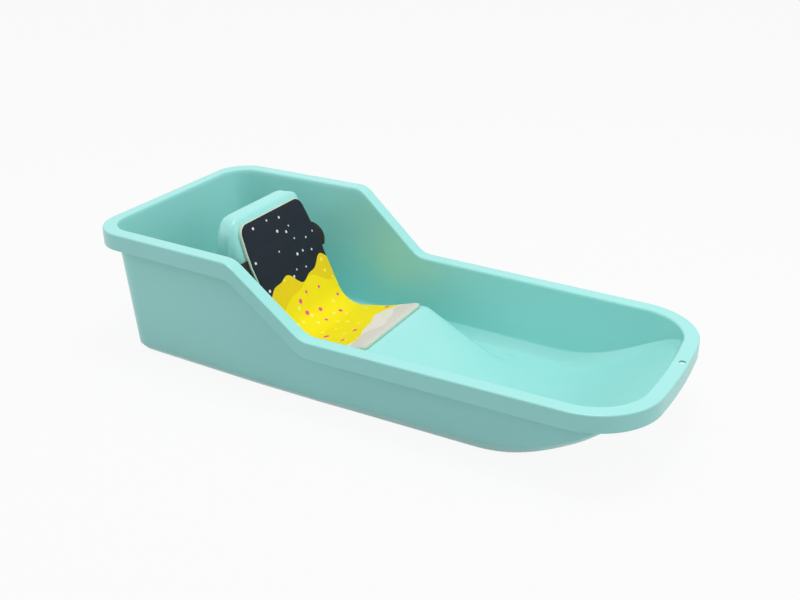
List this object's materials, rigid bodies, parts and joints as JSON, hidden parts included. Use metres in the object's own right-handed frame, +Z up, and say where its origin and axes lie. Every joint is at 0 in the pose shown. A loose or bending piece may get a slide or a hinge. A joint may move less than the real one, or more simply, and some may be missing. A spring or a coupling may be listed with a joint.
{
  "type": "baby pull sled",
  "caption": "Moulded plastic baby pull sled: a deep tub with a rolled rim, a raised backrest and seat with a printed foam pad, and a webbing safety belt with a side-release buckle.",
  "frame": {"origin": "on the ground under the middle of the sled's overall length and width", "axes": "+X points to the bow, +Y to the sled's left side, +Z up"},
  "size_m": [0.91, 0.3998, 0.24],
  "materials": {
    "tub": "satin moulded polyethylene, pale turquoise",
    "pad_foam": "closed-cell foam, cut edge",
    "pad_cover": "printed face laminated on the foam",
    "belt": "woven polypropylene webbing",
    "buckle": "moulded acetal",
    "keeper": "woven elastic"
  },
  "bodies": {
    "sled": {"tub": "tub", "pad_foam": "pad_foam", "pad_cover": "pad_cover", "belt_webbing": "belt", "buckle_socket": "buckle"},
    "plug": {"buckle_plug": "buckle"},
    "prong_upper": {"buckle_prong_upper": "buckle"},
    "prong_lower": {"buckle_prong_lower": "buckle"},
    "keeper": {"belt_keeper": "keeper"}
  },
  "joints": [
    {"name": "plug_slide", "type": "slide", "parent": "sled", "child": "plug", "axis": [0, 1, 0], "range_m": [0, 0.028], "deforming": ["belt_webbing", "buckle_prong_upper", "buckle_prong_lower"]},
    {"name": "prong_upper_squeeze", "type": "hinge", "parent": "plug", "child": "prong_upper", "pos_m": [-0.29207, -0.0124, 0.16248], "axis": [0.9969, 0, -0.0785], "range_deg": [0, 8], "stiffness_Nm_per_rad": 1},
    {"name": "prong_lower_squeeze", "type": "hinge", "parent": "plug", "child": "prong_lower", "pos_m": [-0.29395, -0.0124, 0.13855], "axis": [-0.9969, 0, 0.0785], "range_deg": [0, 8], "stiffness_Nm_per_rad": 1},
    {"name": "keeper_slide", "type": "slide", "parent": "sled", "child": "keeper", "axis": [0, 1, 0], "range_m": [-0.01, 0.006]}
  ],
  "couplings": [
    {"joint": "prong_lower_squeeze", "follows": "prong_upper_squeeze", "ratio": 1}
  ]
}
